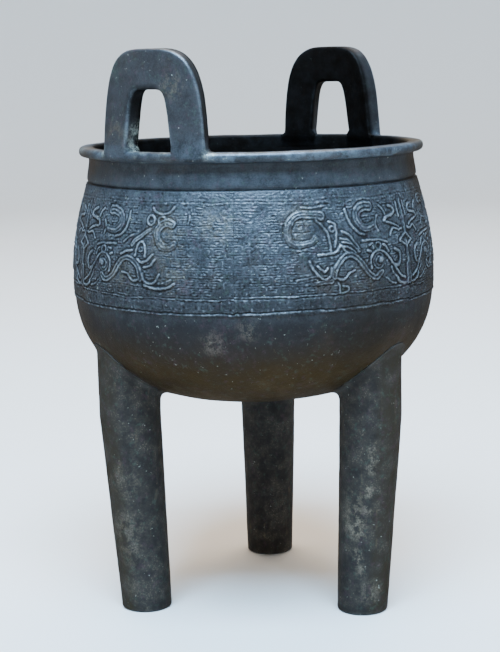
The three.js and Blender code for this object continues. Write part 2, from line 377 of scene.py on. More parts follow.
# Half width of an arch and the height there, as its outline turns from foot (0) to crown (90 degrees).
def arch_point(turn, base, shoulder, height, squareness):
    h = height * sin(turn) ** (2 / squareness)
    across = (base + (shoulder - base) * h / height) * abs(cos(turn)) ** (2 / squareness)
    return np.array([across if turn < pi / 2 else -across, h])


# A bar's section with round edges and points along its flat sides.
def round_section(width, thickness, rounding, steps=5):
    reach = np.array([width / 2 - rounding, thickness / 2 - rounding])
    arcs = []
    for quarter in range(4):
        centre_turn = pi / 4 + quarter * pi / 2
        corner = np.sign([cos(centre_turn), sin(centre_turn)]) * reach
        edge = np.linspace(quarter * pi / 2, (quarter + 1) * pi / 2, steps)
        arcs.append(corner + rounding * np.column_stack([np.cos(edge), np.sin(edge)]))
    points = []
    for bend, after, between in zip(arcs, arcs[1:] + arcs[:1], (FACE_POINTS, SIDE_POINTS) * 2):
        points += [bend, np.linspace(bend[-1], after[0], between + 2)[1:-1]]
    return np.vstack(points)


# Soot and painted shade on a handle's section: darker on its inner face, and painted shade in its opening,
# on its ends and where it meets the lip.
# Across and through run from -1 to 1, from the opening outwards and from the inner face to the outer.
def handle_soot(across, through, rise):
    inner_face = smoothstep(0.2, -0.8, through)
    shade_in_opening = OPENING_SHADE * smoothstep(-0.6, -0.98, across) * smoothstep(4, 22, rise)
    shade_on_ends = END_SHADE * smoothstep(0.9, 0.99, across) * smoothstep(1, 0.6, np.abs(through))
    shade_on_ends *= smoothstep(3, 8, rise) * smoothstep(46, 40, rise)
    shade_at_lip = smoothstep(0.8, -0.4, rise) * smoothstep(0.8, 0.3, through)
    return np.max([inner_face, shade_in_opening, shade_on_ends, shade_at_lip], axis=0)


# One section of a handle, at a turn of its arch, and its soot and painted shade.
def handle_section(angle, turn, sunk=0, outer_in=0, inner_in=0):
    outer = arch_point(turn, HANDLE_BASE, HANDLE_SHOULDER, HANDLE_HEIGHT, HANDLE_SQUARENESS)
    inner = arch_point(turn, OPENING_BASE, OPENING_SHOULDER, OPENING_HEIGHT, OPENING_SQUARENESS)
    width = hypot(*(outer - inner))
    section = round_section(width, HANDLE_THICKNESS, HANDLE_ROUNDING)
    across = section[:, 0] / (width / 2)
    through = section[:, 1] / (HANDLE_THICKNESS / 2)
    spot = inner + (outer - inner) * (0.5 + across[:, None] / 2)
    foot = np.clip(spot[:, 1], 0, HANDLE_FILLET)
    flare = (np.sqrt(HANDLE_FILLET) - np.sqrt(foot)) ** 2 * smoothstep(1.3, -0.4, through)
    side = 1 if turn < pi / 2 else -1
    spot[:, 0] += side * flare * across
    spot[:, 1] -= sunk
    lean = HANDLE_LEAN * np.maximum(spot[:, 1], 0)
    thinned = section[:, 1] * (1 - (outer_in + inner_in) / HANDLE_THICKNESS) + (inner_in - outer_in) / 2
    radius = LIP_RADIUS - HANDLE_THICKNESS / 2 + thinned + lean
    points = around_axis(radius, angle + spot[:, 0] / LIP_RADIUS, LIP_TOP + spot[:, 1])
    return points, handle_soot(across, through, spot[:, 1])


# A handle is a round-edged bar bent over its opening and round the lip. Its foot flares on the lip's
# top, and its outer face runs down into the lip's edge.
def handle_form(angle):
    half = np.linspace(0, 1, HANDLE_ROWS) ** HANDLE_CROWDING * pi / 2
    sections = [handle_section(angle, 0, *root) for root in HANDLE_ROOT]
    sections += [handle_section(angle, turn) for turn in np.concatenate([half, pi - half[-2::-1]])]
    sections += [handle_section(angle, pi, *root) for root in HANDLE_ROOT[::-1]]
    rings, soot = zip(*sections[::-1])
    return tube(np.array(rings)), np.concatenate(soot)


def placed(name, data):
    thing = bpy.data.objects.new(name, data)
    bpy.context.collection.objects.link(thing)
    return thing


def mesh_object(name, verts, faces):
    mesh = bpy.data.meshes.new(name)
    mesh.from_pydata(np.asarray(verts).tolist(), [], faces)
    mesh.validate()
    return placed(name, mesh)


# Cuts or joins closed forms one after another and gives the outcome as a mesh.
def combined(first, steps):
    for operation, other in steps:
        modifier = first.modifiers.new("step", "BOOLEAN")
        modifier.solver = "MANIFOLD"
        modifier.operation = operation
        modifier.object = other
    graph = bpy.context.evaluated_depsgraph_get()
    mesh = bpy.data.meshes.new_from_object(first.evaluated_get(graph))
    for other in [first] + [step[1] for step in steps]:
        bpy.data.objects.remove(other)
    return mesh


# The places ("co") or directions ("normal") of a mesh's vertices.
def per_vertex(mesh, name):
    values = np.empty(len(mesh.vertices) * 3)
    mesh.vertices.foreach_get(name, values)
    return values.reshape(-1, 3)


def place_all(mesh, spots):
    mesh.vertices.foreach_set("co", spots.ravel())
    mesh.update()


# The two vertices of each edge, taken both ways.
def neighbours(mesh):
    pairs = np.empty(len(mesh.edges) * 2, np.int32)
    mesh.edges.foreach_get("vertices", pairs)
    first, second = pairs.reshape(-1, 2).T
    return (first, second), (second, first)


def write_marks(mesh, wear, soot, leg=0):
    for name, values, least in zip(MARKS, (wear, soot, leg), (LEAST_WEAR_AND_SHADING, 0, 0)):
        layer = mesh.attributes.new(name, "FLOAT", "POINT")
        layer.data.foreach_set("value", np.clip(values + np.zeros(len(mesh.vertices)), least, 1))


def read_mark(mesh, name):
    values = np.empty(len(mesh.vertices))
    mesh.attributes[name].data.foreach_get("value", values)
    return values


# Adds the values of each vertex's known neighbours to its total, and their number to its share.
def add_neighbours(ways, values, known, total, share):
    for a, b in ways:
        near = known[b]
        np.add.at(total, a[near], values[b[near]])
        np.add.at(share, a[near], 1)


# Gives the vertices that a cut added the mean marks of their neighbours.
def mend_marks(mesh, rounds=4):
    ways = neighbours(mesh)
    known = read_mark(mesh, "wear") > LEAST_WEAR_AND_SHADING / 2
    for name in MARKS:
        values = read_mark(mesh, name)
        told = known.copy()
        for _ in range(rounds):
            total = np.zeros(len(values))
            share = np.zeros(len(values))
            add_neighbours(ways, values, told, total, share)
            found = ~told & (share > 0)
            values[found] = total[found] / share[found]
            told |= found
        mesh.attributes[name].data.foreach_set("value", values)


# How far each vertex stands out from its neighbours: over a half on edges, under a half in creases.
def edge_wear(mesh, gain=1.1, passes=2, shortest=0.2):
    spots = per_vertex(mesh, "co")
    facing = per_vertex(mesh, "normal")
    ways = neighbours(mesh)
    bend = np.zeros(len(spots))
    weight = np.zeros(len(spots))
    for a, b in ways:
        way = spots[b] - spots[a]
        length = np.maximum(np.linalg.norm(way, axis=1), shortest)
        fall = -2 * (way * facing[a]).sum(axis=1) / length ** 2
        np.add.at(bend, a, fall * length)
        np.add.at(weight, a, length)
    bend /= np.maximum(weight, TINY)
    for _ in range(passes):
        total = bend.copy()
        share = np.ones(len(spots))
        add_neighbours(ways, bend, np.ones(len(spots), bool), total, share)
        bend = total / share
    # Over a half pales edges with wear and painted highlights; under a half darkens creases with painted
    # shade
    return EVEN_WEAR_AND_SHADING + gain * bend


# How far a casting's surface lies in from its true form, in millimetres.
def sunken(spots, broad_depth=0.09, fine_depth=0.03):
    broad = np.tanh(0.8 * unevenness(spots, "casting_broad"))
    fine = np.tanh(unevenness(spots, "casting_fine"))
    return broad_depth * (1 - broad) + fine_depth * (1 - fine)


# The bowl's outer form up to the lip. Its edge wear and shading, with painted highlights on edges and
# painted shade in creases, ends where a handle runs into the lip.
def bowl_blank():
    piece = mesh_object("bowl_blank", *turned(outer_profile(), BOWL_SIDES))
    spots = per_vertex(piece.data, "co")
    wear = edge_wear(piece.data)
    for angle in HANDLE_ANGLES:
        turn = (np.arctan2(spots[:, 1], spots[:, 0]) - angle + pi) % (2 * pi) - pi
        under = smoothstep(HANDLE_BASE + 2, HANDLE_BASE - 1, np.abs(turn) * LIP_RADIUS)
        under *= smoothstep(LIP_UNDERSIDE - 1, LIP_UNDERSIDE, spots[:, 2])
        wear = wear + (EVEN_WEAR_AND_SHADING - wear) * under
    write_marks(piece.data, wear, 0)
    return piece


def hollow_blank():
    piece = mesh_object("hollow_blank", *turned(hollow_profile(), BOWL_SIDES))
    height = per_vertex(piece.data, "co")[:, 2]
    # Soot and painted shade all over the hollow, up to the lip's top
    write_marks(piece.data, EVEN_WEAR_AND_SHADING, smoothstep(LIP_TOP + 1, LIP_TOP - 0.5, height))
    return piece


def leg_blank(angle):
    form, soot, crest, outer_side = leg_form(angle)
    piece = mesh_object("leg_blank", *form)
    height = per_vertex(piece.data, "co")[:, 2]
    # Paler wear at the feet, and the painted highlight along the top of the joint
    wear = EVEN_WEAR_AND_SHADING + FOOT_WEAR * smoothstep(2.5, 0.3, height) + crest
    write_marks(piece.data, wear, soot, 0.5 + 0.5 * outer_side)
    return piece


def handle_blank(angle):
    form, soot = handle_form(angle)
    piece = mesh_object("handle_blank", *form)
    clear_of_lip = smoothstep(LIP_TOP + 1, LIP_TOP + 4, per_vertex(piece.data, "co")[:, 2])
    # Edges paler with wear and painted highlights, and creases darker with painted shade, away from the
    # lip
    write_marks(piece.data, EVEN_WEAR_AND_SHADING + (edge_wear(piece.data) - EVEN_WEAR_AND_SHADING) * clear_of_lip, soot)
    return piece


def body_piece():
    steps = [("UNION", leg_blank(angle)) for angle in LEG_ANGLES]
    steps.append(("DIFFERENCE", hollow_blank()))
    steps += [("UNION", handle_blank(angle)) for angle in HANDLE_ANGLES]
    mesh = combined(bowl_blank(), steps)
    mend_marks(mesh)
    spots = per_vertex(mesh, "co")
    depth = sunken(spots) * smoothstep(0, FLAT_FOOT, spots[:, 2])
    place_all(mesh, (spots - per_vertex(mesh, "normal") * depth[:, None]) * MM)
    mesh.shade_smooth()
    mesh.set_sharp_from_angle(angle=SHARP_ANGLE)
    return placed("ding_body", mesh)


# Strokes of the relief. Each has a path in u and z, where u runs round the belly from the mask's
# middle line, a width, the pitch of the lines along it, if any, and how it narrows.
def smooth_path(points, steps=8):
    points = np.array(points, float)
    padded = np.vstack([2 * points[0] - points[1], points, 2 * points[-1] - points[-2]])
    path = []
    for a, b, c, d in zip(padded, padded[1:], padded[2:], padded[3:]):
        for t in np.arange(steps) / steps:
            path.append(0.5 * (2 * b + (c - a) * t + (2 * a - 5 * b + 4 * c - d) * t ** 2
                               + (3 * b - a - 3 * c + d) * t ** 3))
    return np.array(path + [points[-1]])


def stroke(points, width, pitch=0, valley=False, tip=1, height=1):
    path = smooth_path(points) if len(points) > 2 else np.array(points, float)
    return dict(path=path, width=width, pitch=pitch, valley=valley, tip=tip, height=height)


# A stroke round a circle, from one angle to another in degrees, that may wind inwards.
def ring(u, z, radius, start, end, width, inner=None, count=14, **looks):
    turns = np.radians(np.linspace(start, end, count))
    radii = np.linspace(radius, radius if inner is None else inner, count)
    points = np.column_stack([u + radii * np.cos(turns), z + radii * np.sin(turns)])
    return stroke(points, width, **looks)


# The mask's middle: brow peak, forehead and nose, the same for both halves.
MIDDLE = [
    stroke([(0, 206.5), (0, 198.4)], 3.8, pitch=1.9, height=1.1),
    stroke([(0, 198), (0, 191.5)], 2.6, pitch=1.3, height=1.1),
    stroke([(0, 191), (2.4, 189.4), (5.4, 187.4)], 1.5),
    stroke([(0, 184.6), (2.2, 186), (5, 187.4)], 1.4),
    stroke([(0, 187), (0, 176)], 3.2, pitch=1.6, height=1.2),
    stroke([(0, 176), (0, 168)], 4.6, pitch=1.5, height=1.25),
    stroke([(2, 167.4), (5, 167.4), (8.4, 168.8), (9.6, 170.6)], 1.7),
]

# Brow, eye, jaw and horn, shared by both halves of a mask
FACE = [
    # Bridge scroll and the bent lines under it
    stroke([(10, 204.2), (7.2, 203.4), (6.2, 201.8), (7.6, 200.4), (11, 200), (14, 199.4),
            (15.6, 197.6)], 1.9),
    stroke([(14.4, 197), (11, 196.4), (8, 195.4), (4.6, 194)], 1.3),
    stroke([(12.4, 190.8), (10.6, 193), (8.6, 193.8), (5, 192.8), (2.6, 193)], 1.3),
    stroke([(3.2, 205.6), (3, 202), (2.8, 198.6)], 1.2),
    stroke([(17.4, 204.6), (15.2, 203), (14.2, 200.8)], 1.4),
    # Nostril hook
    stroke([(10.6, 184.4), (7.6, 182.6), (6.8, 180), (7.3, 177.6), (9.4, 176.2), (11.6, 176.9)], 2),
    # Brow
    stroke([(31.4, 189.6), (25, 189.4), (20, 189.2), (15.4, 188)], 1.4, height=0.8),
    stroke([(28, 187), (25.6, 187.6), (25, 185.6)], 1.2),
    ring(21.9, 186.4, 1.7, 0, 360, 1.1),
    stroke([(18.6, 187), (16.4, 185.8), (15.2, 183.6)], 1.5),
    stroke([(29, 185), (27, 184.4)], 1.4),
    # Eye socket, spiral and pupil
    stroke([(27.2, 176.6), (27.4, 180.8), (25, 183.6), (21.2, 184.3), (17.2, 182.9), (14.2, 179.6),
            (11.2, 175.6), (7.6, 172.2), (3.4, 169.8)], 1.5),
    ring(22.2, 179.4, 4.3, 200, -480, 0.95, inner=1.5, height=0.95),
    stroke([(20.2, 180.6), (21.4, 180)], 3, height=1.15),
    stroke([(14, 176), (12.8, 173.4), (10, 171.2)], 1.2, height=0.8),
    # Jaw: a broad ribbon that swings in a wave under the eye
    stroke([(48.6, 174.4), (46.9, 179), (43.2, 182.8), (39.5, 184), (36, 182.6), (33, 179),
            (30, 175.3), (26.8, 173), (24, 172.7), (21.2, 174.6)], 3.2, pitch=2.3, valley=True),
    stroke([(47.4, 173.8), (43.4, 173.4), (40.4, 175.6), (37, 176.6)], 1.3),
    # Horn: three lines side by side, bent into a C, and the line that backs it
    stroke([(24.6, 204.8), (28, 205), (32, 203.6), (33.6, 200.8), (32.6, 198), (29.6, 195.9),
            (25.6, 196), (23.2, 196.4)], 5.4, pitch=1.8, tip=0.7),
    stroke([(38.9, 205), (38.9, 202), (38.1, 199), (36.6, 196.3), (33.4, 193.6), (30, 192.6)], 1.4),
    # Cheek fillers
    stroke([(20, 200.4), (21.8, 196.6), (20.4, 193.4)], 1.2, height=0.8),
    stroke([(18, 171.8), (14.6, 169.2), (11, 168.2)], 1.2, height=0.7),
]

# Body, claw and tail on the half that points to smaller angles
BODY_BEFORE = [
    stroke([(53, 202), (58, 202.6), (64, 203), (68, 201), (70.3, 197), (70, 193), (67, 190.1),
            (63, 189.5), (59, 190.5), (57, 192.2)], 4.4, pitch=1.5, tip=0.75),
    stroke([(62.5, 206.4), (56, 206), (49.5, 206.8)], 1.1, height=0.7),
    ring(53.4, 202, 1.8, 0, 360, 1.1),
    stroke([(56, 200.4), (53, 198), (50.3, 194), (49.3, 186)], 1.3),
    stroke([(49.4, 199.4), (46.3, 198), (45.7, 194), (47, 188)], 1.3),
    ring(48, 196, 1.3, 0, 360, 0.9),
    stroke([(55.8, 184.8), (50, 185.2), (46.2, 185.8), (44, 188.3), (42, 186), (40, 184.5)], 1.6),
    stroke([(42.4, 194.6), (38.4, 192.4), (36.4, 190), (34.4, 187.4)], 1.3),
    stroke([(43, 189.8), (38.6, 189), (34.6, 185.6)], 1.3),
    stroke([(42.8, 187.9), (39.2, 187), (36.2, 184.8)], 1.3),
    stroke([(43.8, 191.6), (40, 190.8), (37.4, 188.8)], 1.2),
    ring(34.3, 185.8, 0.9, 0, 360, 1.2, height=1.1),
    stroke([(60.4, 182), (58.2, 178), (56.2, 175), (53, 173.5), (50.4, 175), (49.5, 178.4)], 1.5),
    stroke([(56.4, 180), (54.6, 178), (53, 177), (51.2, 178.8)], 1.3),
    stroke([(50, 172.4), (58, 172), (66, 171.4)], 2.5, pitch=1.6, valley=True, tip=0.35),
    stroke([(52, 175), (58, 175.2), (67.4, 174)], 1, height=0.7),
    stroke([(46.4, 172), (45.6, 169.6), (45.4, 166.9), (41.6, 166.9), (41.4, 169.4), (44, 170)], 1.1),
]

# The same on the other half, cast from its own mould, so that the tail and the claw differ
BODY_AFTER = [
    ring(62.4, 194.6, 5.6, 62, 310, 4.6, pitch=1.55, tip=0.8),
    ring(58.8, 200.9, 1.9, 0, 360, 1.2),
    ring(52.8, 201.2, 2.1, 0, 360, 1.2),
    stroke([(65.4, 207), (63, 204.7), (59.2, 203.7), (55.4, 204.7), (53, 206.8)], 1.2),
    stroke([(73, 205), (73.4, 202.4), (73, 199.8)], 1.1, height=0.8),
    stroke([(52.6, 197), (48.6, 194.6), (44.6, 192), (42.4, 189.6)], 2.2, pitch=1.4, valley=True),
    stroke([(50.6, 184.4), (50.4, 188), (49.2, 191), (47.2, 191.4), (45.8, 188.6), (45, 184.8)], 1.4),
    ring(48, 187.6, 1, 0, 360, 0.9),
    stroke([(55.4, 185.4), (52, 182.6), (48.6, 181.6), (46, 183.2)], 1.5),
    stroke([(56.8, 183), (53.6, 180.2), (50.4, 179.4)], 1.2),
    stroke([(43.4, 194.4), (39.4, 192.8), (36.6, 190.6)], 1.2),
    stroke([(42.6, 187.4), (39, 187), (35.4, 185.4)], 1.3),
    stroke([(58.8, 177), (55.8, 173.2), (51.4, 173.2), (49.6, 176.6)], 1.5),
    stroke([(67, 173), (63, 170.8), (57, 170.4), (51, 172)], 1.7),
    stroke([(65.4, 175), (61.6, 173.2), (58.4, 172.9)], 1, height=0.7),
]


# Cells of squared spirals in the field and in the strips below and above it: width, height, pitch of
# the lines and seed
FIELD_CELLS = (6.1, 4.7, 1.02, 1.0)
FOOT_CELLS = (5.6, 6, 1.05, 3.0)
TOP_CELLS = (5.2, 2.7, 0.92, 7.0)
FOOT_CUT = 0.2
TOP_CUT = 0.18

# Lines round the band: the border each follows, its height over it, its width, and how deep it is cut
# or, for the raised ones, how much higher it stands where it isn't worn away
CUT_LINES = [("field", -0.5, 0.5, 0.2), ("foot", 0.8, 0.45, 0.2), ("top", 0.7, 0.5, 0.14)]
RAISED_LINES = [("field", 0.1, 0.35, 0.06), ("foot", 0, 0.45, 0.12), ("top", 0.1, 0.3, 0)]
WORN_AWAY = 0.08

# The slanting line beside the upright border of one half: where it crosses a height, and its slope
SLANT_PLACE = 87.4
SLANT_HEIGHT = 158
SLANT_SLOPE = 0.24

# Heights between which the upright lines fade in at the foot and out at the top, and the slanting one out
UPRIGHT_FOOT = (158, 160)
UPRIGHT_TOP = (207, 190)
SLANT_TOP = (171, 169)

# How much the strokes' height varies, how deep the ground sinks beside them and its pits are, and how
# much calmer it is in the strip between two masks
STROKE_WEAR = 0.16
GROUND_SINK = 0.16
PIT_DEPTH = 0.05
STRIP_CALM = 0.4


# Nearest distance from each spot to a path, and how far along it that is, from 0 to 1.
def from_path(path, u, z):
    ways = np.diff(path, axis=0)
    lengths = np.maximum(np.hypot(ways[:, 0], ways[:, 1]), TINY)
    starts = np.concatenate([[0], np.cumsum(lengths)[:-1]])
    best = np.full(u.shape, np.inf)
    share = np.zeros(u.shape)
    for a, way, length, before in zip(path, ways, lengths, starts):
        t = np.clip(((u - a[0]) * way[0] + (z - a[1]) * way[1]) / length ** 2, 0, 1)
        gap = np.hypot(u - a[0] - t * way[0], z - a[1] - t * way[1])
        nearer = gap < best
        best[nearer] = gap[nearer]
        share[nearer] = (before + t * length)[nearer] / lengths.sum()
    return best, share


# Lays strokes on the ground: their height, and each spot's distance from the nearest one's edge.
def laid(strokes, u, z, margin=2.5, far=9.0, standing=0.45, bevel=(-0.15, 0.55), line_depth=0.32):
    height = np.zeros(u.shape)
    clear = np.full(u.shape, far)
    for line in strokes:
        low = line["path"].min(axis=0) - line["width"] - margin
        high = line["path"].max(axis=0) + line["width"] + margin
        near = (u > low[0]) & (u < high[0]) & (z > low[1]) & (z < high[1])
        gap, share = from_path(line["path"], u[near], z[near])
        half = standing * line["width"] * (1 + (line["tip"] - 1) * share)
        rise = smoothstep(*bevel, half - gap)
        if line["pitch"]:
            wave = np.cos(2 * pi * gap / line["pitch"]) * (-1 if line["valley"] else 1)
            rise = rise * (1 - line_depth + line_depth * wave)
        height[near] = np.maximum(height[near], rise * line["height"])
        clear[near] = np.minimum(clear[near], gap - half)
    return height, clear


# Ground of squared spirals in cells, as a height from 0 to 1. Rows are shifted by a scattered amount.
def thunder_ground(u, z, cells, scatter=(12.9898, 43.7), gap=0.16, gap_height=0.1):
    cell_width, cell_height, pitch, seed = cells
    row = np.floor(z / cell_height)
    shift = np.mod(np.sin(row * scatter[0] + seed) * scatter[1], 1) * cell_width
    column = np.floor((u + shift) / cell_width)
    x = u + shift - (column + 0.5) * cell_width
    y = z - (row + 0.5) * cell_height
    x = np.where(np.mod(row + column, 2) > 0, -x, x)
    stretch = (cell_width - cell_height) / 2
    upper = np.maximum(np.abs(x) - stretch, np.abs(y))
    lower = np.maximum(np.abs(x - pitch / 2) - stretch, np.abs(y)) - pitch / 2
    turn = np.where(y > 0, upper, lower) / pitch
    edge = np.minimum(cell_height / 2 - np.abs(y), cell_width / 2 - np.abs(x))
    lines = 0.5 + 0.5 * np.cos(2 * pi * turn)
    return np.where(edge < gap * pitch, gap_height, lines)


def line_at(value, centre, width):
    return 1 - smoothstep(0.5 * width, width, np.abs(value - centre))


# Where a spot lies on its half of the mask, a little off as in work by hand, and folded back at its end.
def hand_drawn(u, z, side, spots, sway_round=0.2, sway_up=0.18, ripple=0.07):
    off = sway_round * unevenness(spots, "sway_round") + ripple * unevenness(spots, "ripple_round")
    u = np.abs(u + side * off)
    u = np.where(u > HALF_MASK, 2 * HALF_MASK - u, u)
    z = z + sway_up * unevenness(spots, "sway_up") + ripple * unevenness(spots, "ripple_up")
    return u, z


# Upright border line of a half, and the slanting line beside it on the half at smaller angles.
def side_lines(u, z, side, width=0.4):
    upright = line_at(u, SIDE_LINES[side], width)
    upright = upright * smoothstep(*UPRIGHT_FOOT, z) * smoothstep(*UPRIGHT_TOP, z)
    slant = line_at(u, SLANT_PLACE + SLANT_SLOPE * (z - SLANT_HEIGHT), width)
    return upright, slant * smoothstep(*SLANT_TOP, z) * (side < 0)


# Height of the band over the sunk field, in millimetres, for one half of a mask.
def band_height(u, z, side, spots):
    u, z = hand_drawn(u, z, side, spots)
    body = BODY_BEFORE if side < 0 else BODY_AFTER
    motif, clear = laid(MIDDLE + FACE + body, u, z)
    motif *= 1 - STROKE_WEAR + STROKE_WEAR * np.tanh(unevenness(spots, "strokes"))
    worn = smoothstep(-2.3, 0.5, unevenness(spots, "worn"))
    broken = smoothstep(-0.9, 0.7, unevenness(spots, "broken"))
    levels = {"field": FIELD_LINES[side], "foot": FOOT_LINES[side], "top": FIELD_TOP}
    ground = thunder_ground(u, z - levels["field"] - 0.5, FIELD_CELLS) * GROUND_HEIGHT * worn
    ground = ground * smoothstep(0.25, 0.7, clear) - GROUND_SINK * line_at(clear, 0.3, 0.5)
    ground *= 1 - STRIP_CALM * smoothstep(SIDE_LINES[side] - 0.5, SIDE_LINES[side] + 0.5, u)
    upright, slant = side_lines(u, z, side)
    ground = np.maximum(ground, BORDER_HEIGHT * broken * np.maximum(upright, slant))
    field = np.maximum(ground, RELIEF * motif)
    low_ground = thunder_ground(u, z - levels["foot"] - 0.9, FOOT_CELLS) * worn
    low_strip = FIELD_DEPTH - FOOT_CUT * (1 - low_ground)
    top_strip = FIELD_DEPTH - TOP_CUT * (1 - thunder_ground(u, z, TOP_CELLS) * worn)
    in_low = smoothstep(levels["field"] + 0.25, levels["field"] - 0.25, z)
    in_top = smoothstep(FIELD_TOP - 0.25, FIELD_TOP + 0.25, z)
    height = field * (1 - in_low) * (1 - in_top) + low_strip * in_low + top_strip * in_top
    height = np.maximum(height, 0.9 * FIELD_DEPTH * slant * broken)
    for border, over, width, depth in CUT_LINES:
        height -= depth * line_at(z, levels[border] + over, width)
    for border, over, width, lift in RAISED_LINES:
        crest = FIELD_DEPTH - WORN_AWAY + (WORN_AWAY + lift) * broken
        height = np.maximum(height, crest * line_at(z, levels[border] + over, width))
    return height + PIT_DEPTH * unevenness(spots, "pits")


# Mean of a grid over a square window, taken once or more.
def blurred(grid, reach, times=2):
    for _ in range(times):
        for axis in (0, 1):
            pad = [(reach, reach) if a == axis else (0, 0) for a in (0, 1)]
            padded = np.pad(grid, pad, mode="edge")
            total = np.cumsum(np.insert(padded, 0, 0, axis=axis), axis=axis)
            size = 2 * reach + 1
            ahead = np.take(total, range(size, total.shape[axis]), axis=axis)
            behind = np.take(total, range(0, total.shape[axis] - size), axis=axis)
            grid = (ahead - behind) / size
    return grid


# Faces of a slab between a front and a back grid of vertex numbers. Where the grids run backwards
# round the axis, each face is turned over.
def slab_faces(front_at, back_at, backwards):
    def wound(face, flip):
        return (face[..., ::-1] if flip else face).tolist()

    faces = []
    for at, flip in ((front_at, backwards), (back_at, not backwards)):
        quads = np.stack([at[:-1, :-1], at[:-1, 1:], at[1:, 1:], at[1:, :-1]], axis=-1)
        faces += wound(quads.reshape(-1, 4), flip)
    for row, flip in ((0, backwards), (-1, not backwards)):
        rear, fore = back_at[row], front_at[row]
        faces += wound(np.stack([rear[:-1], rear[1:], fore[1:], fore[:-1]], axis=-1), flip)
    for column, flip in ((0, backwards), (-1, not backwards)):
        faces.append(wound(np.concatenate([front_at[:, column], back_at[::-1, column]]), flip))
    return faces


# One half of one mask: a closed curved slab whose outer face carries the relief.
def panel_piece(number, angle, side):
    u = np.linspace(0, HALF_MASK, PANEL_STEPS_ROUND + 1)
    z = np.linspace(BAND_BOTTOM, BAND_TOP, PANEL_STEPS_UP + 1)
    grid_z, grid_u = np.meshgrid(z, u, indexing="ij")
    turns = angle + side * grid_u / BELLY_RADIUS
    base = belly_radius(grid_z)
    spots = around_axis(base, turns, grid_z).reshape(-1, 3)
    height = band_height(grid_u.ravel(), grid_z.ravel(), side, spots).reshape(grid_z.shape)
    height = blurred(height, 1, 1)
    radius = base - FIELD_DEPTH - SET_BACK + height - sunken(spots).reshape(grid_z.shape)
    front = around_axis(radius, turns, grid_z)
    back_z = np.linspace(BAND_BOTTOM, BAND_TOP, PANEL_BACK_ROWS + 1)[:, None] + 0 * u
    back_turns = angle + side * (u / BELLY_RADIUS) + 0 * back_z
    back = around_axis(belly_radius(back_z) - PANEL_DEPTH, back_turns, back_z)
    front_at = np.arange(grid_z.size).reshape(grid_z.shape)
    back_at = np.arange(back_z.size).reshape(back_z.shape) + grid_z.size
    verts = np.vstack([front.reshape(-1, 3), back.reshape(-1, 3)])
    piece = mesh_object(f"band_panel_{number}", verts, slab_faces(front_at, back_at, side < 0))
    mesh = piece.data
    # Wear and shading of the relief: edges paler with wear and painted highlights, creases darker with
    # painted shade
    wear = EVEN_WEAR_AND_SHADING + RELIEF_GAIN * (height - blurred(height, 3))
    write_marks(mesh, np.concatenate([wear.ravel(), np.full(back_z.size, BACK_WEAR_AND_SHADING)]), 0)
    place_all(mesh, per_vertex(mesh, "co") * MM)
    smooth = np.zeros(len(mesh.polygons), bool)
    smooth[:PANEL_STEPS_ROUND * PANEL_STEPS_UP] = True
    mesh.polygons.foreach_set("use_smooth", smooth)
    return piece


# Places of the colour sockets on a mix node, whose sockets share their names
FIRST_COLOUR = 6
SECOND_COLOUR = 7
MIXED_COLOUR = 2

# Noises of the patina: waves a metre, detail and roughness
NOISES = {
    "clouds": (30, 5, 0.6), "patches": (110, 6, 0.7), "bloom_and_sheen": (130, 6, 0.75),
    "mottle": (160, 6, 0.7), "ragged": (230, 6, 0.75), "dust": (240, 6, 0.75),
    "purple": (270, 4, 0.7), "streaks": (330, 4, 0.6), "green": (340, 4, 0.7),
    "pores": (420, 5, 0.65), "specks": (520, 3, 0.6), "chasing": (900, 4, 0.7),
    "grain": (1300, 3, 0.7),
}


